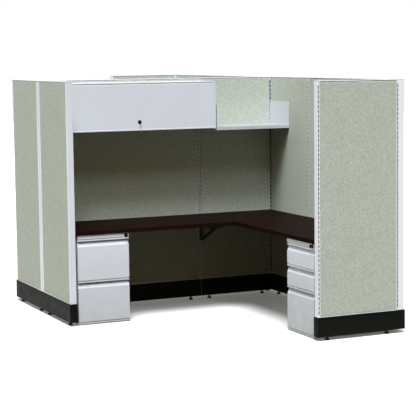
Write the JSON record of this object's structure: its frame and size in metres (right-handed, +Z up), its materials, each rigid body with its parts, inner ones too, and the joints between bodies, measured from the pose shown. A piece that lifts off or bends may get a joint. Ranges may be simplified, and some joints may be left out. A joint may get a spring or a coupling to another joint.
{
  "type": "cubicle workstation",
  "caption": "Panel cubicle for one seat with an L-shaped desk, drawer pedestals, overhead flipper cabinet and shelf, backed by a bare mirrored bay.",
  "frame": {"origin": "on the floor at the middle of the spine wall, halfway between the outer faces of the two side walls", "axes": "+Z up, X along the spine with the long side wall at +X, the furnished bay at -Y and the bare bay at +Y"},
  "size_m": [1.933, 3.81, 1.702],
  "materials": {
    "panel_frame": "honeycomb board core edged in white painted steel",
    "tile_fabric": "speckled sage woven fabric",
    "raceway_black": "satin black",
    "foot_plastic": "matt black",
    "trim_paint": "smooth powder coat",
    "desk_laminate": "dark mahogany laminate, satin",
    "desk_band": "satin edge band",
    "bracket_paint": "black powder coat",
    "cabinet_paint": "fine textured powder coat",
    "slide_steel": "zinc plated",
    "lock_black": "black with a black key",
    "shelf_paint": "fine textured powder coat",
    "pedestal_paint": "fine textured powder coat",
    "drawer_box_paint": "grey powder coat"
  },
  "bodies": {
    "workstation": {"left_wall_front_panel": "panel_frame", "left_wall_rear_panel": "panel_frame", "spine_wide_panel": "panel_frame", "spine_narrow_panel": "panel_frame", "right_wall_front_narrow_panel": "panel_frame", "right_wall_front_wide_panel": "panel_frame", "right_wall_rear_narrow_panel": "panel_frame", "right_wall_rear_wide_panel": "panel_frame", "front_return_panel": "panel_frame", "rear_return_panel": "panel_frame", "left_wall_fabric_tiles": "tile_fabric", "spine_fabric_tiles": "tile_fabric", "right_wall_fabric_tiles": "tile_fabric", "return_fabric_tiles": "tile_fabric", "left_wall_base_covers": "raceway_black", "spine_base_covers": "raceway_black", "right_wall_base_covers": "raceway_black", "return_base_covers": "raceway_black", "panel_glides": "foot_plastic", "left_wall_top_cap": "trim_paint", "right_wall_top_cap": "trim_paint", "spine_top_cap": "trim_paint", "return_top_caps": "trim_paint", "tee_posts": "trim_paint", "corner_posts": "trim_paint", "panel_connectors": "trim_paint", "end_trims": "trim_paint", "base_corner_covers": "raceway_black", "main_worksurface": "desk_laminate", "wing_worksurface": "desk_laminate", "worksurface_edge_bands": "desk_band", "worksurface_cantilevers": "bracket_paint", "cabinet_shell": "cabinet_paint", "shelf_ends": "shelf_paint", "shelf_pan": "shelf_paint", "left_pedestal_case": "pedestal_paint", "right_pedestal_case": "pedestal_paint", "pedestal_slide_rails": "slide_steel", "pedestal_feet": "foot_plastic"},
    "left_drawer_1": {"left_drawer_1_front": "pedestal_paint", "left_drawer_1_box": "drawer_box_paint"},
    "left_drawer_1_slides": {"left_drawer_1_slide_middles": "slide_steel"},
    "left_drawer_2": {"left_drawer_2_front": "pedestal_paint", "left_drawer_2_box": "drawer_box_paint"},
    "left_drawer_2_slides": {"left_drawer_2_slide_middles": "slide_steel"},
    "right_drawer_1": {"right_drawer_1_front": "pedestal_paint", "right_drawer_1_box": "drawer_box_paint"},
    "right_drawer_1_slides": {"right_drawer_1_slide_middles": "slide_steel"},
    "right_drawer_2": {"right_drawer_2_front": "pedestal_paint", "right_drawer_2_box": "drawer_box_paint"},
    "right_drawer_2_slides": {"right_drawer_2_slide_middles": "slide_steel"},
    "right_drawer_3": {"right_drawer_3_front": "pedestal_paint", "right_drawer_3_box": "drawer_box_paint"},
    "right_drawer_3_slides": {"right_drawer_3_slide_middles": "slide_steel"},
    "left_lock": {"left_pedestal_lock": "lock_black"},
    "right_lock": {"right_pedestal_lock": "lock_black"},
    "door_carriers": {"cabinet_door_carriers": "slide_steel"},
    "cabinet_door": {"cabinet_door": "cabinet_paint"},
    "cabinet_lock": {"cabinet_door_lock": "lock_black"}
  },
  "joints": [
    {"name": "left_drawer_1_open", "type": "slide", "parent": "workstation", "child": "left_drawer_1", "axis": [0, -1, 0], "range_m": [0, 0.48]},
    {"name": "left_drawer_1_slides_run", "type": "slide", "parent": "workstation", "child": "left_drawer_1_slides", "axis": [0, -1, 0], "range_m": [0, 0.24]},
    {"name": "left_drawer_2_open", "type": "slide", "parent": "workstation", "child": "left_drawer_2", "axis": [0, -1, 0], "range_m": [0, 0.48]},
    {"name": "left_drawer_2_slides_run", "type": "slide", "parent": "workstation", "child": "left_drawer_2_slides", "axis": [0, -1, 0], "range_m": [0, 0.24]},
    {"name": "right_drawer_1_open", "type": "slide", "parent": "workstation", "child": "right_drawer_1", "axis": [-1, 0, 0], "range_m": [0, 0.48]},
    {"name": "right_drawer_1_slides_run", "type": "slide", "parent": "workstation", "child": "right_drawer_1_slides", "axis": [-1, 0, 0], "range_m": [0, 0.24]},
    {"name": "right_drawer_2_open", "type": "slide", "parent": "workstation", "child": "right_drawer_2", "axis": [-1, 0, 0], "range_m": [0, 0.48]},
    {"name": "right_drawer_2_slides_run", "type": "slide", "parent": "workstation", "child": "right_drawer_2_slides", "axis": [-1, 0, 0], "range_m": [0, 0.24]},
    {"name": "right_drawer_3_open", "type": "slide", "parent": "workstation", "child": "right_drawer_3", "axis": [-1, 0, 0], "range_m": [0, 0.48]},
    {"name": "right_drawer_3_slides_run", "type": "slide", "parent": "workstation", "child": "right_drawer_3_slides", "axis": [-1, 0, 0], "range_m": [0, 0.24]},
    {"name": "left_pedestal_lock_turn", "type": "hinge", "parent": "workstation", "child": "left_lock", "pos_m": [-0.5365, -0.623, 0.617], "axis": [0, -1, 0], "range_deg": [0, 90]},
    {"name": "right_pedestal_lock_turn", "type": "hinge", "parent": "workstation", "child": "right_lock", "pos_m": [0.3155, -1.805, 0.617], "axis": [-1, 0, 0], "range_deg": [0, 90]},
    {"name": "cabinet_door_run", "type": "slide", "parent": "workstation", "child": "door_carriers", "axis": [0, 1, 0], "range_m": [0, 0.245]},
    {"name": "cabinet_door_swing", "type": "hinge", "parent": "door_carriers", "child": "cabinet_door", "pos_m": [0, -0.333, 1.6642], "axis": [-1, 0, 0], "range_deg": [0, 90]},
    {"name": "cabinet_lock_turn", "type": "hinge", "parent": "cabinet_door", "child": "cabinet_lock", "pos_m": [-0.307, -0.342, 1.395], "axis": [0, -1, 0], "range_deg": [0, 90]}
  ],
  "couplings": [
    {"joint": "left_drawer_1_slides_run", "follows": "left_drawer_1_open", "ratio": 0.5},
    {"joint": "left_drawer_2_slides_run", "follows": "left_drawer_2_open", "ratio": 0.5},
    {"joint": "right_drawer_1_slides_run", "follows": "right_drawer_1_open", "ratio": 0.5},
    {"joint": "right_drawer_2_slides_run", "follows": "right_drawer_2_open", "ratio": 0.5},
    {"joint": "right_drawer_3_slides_run", "follows": "right_drawer_3_open", "ratio": 0.5},
    {"joint": "cabinet_door_run", "follows": "cabinet_door_swing", "m_per_rad": 0.15597}
  ]
}
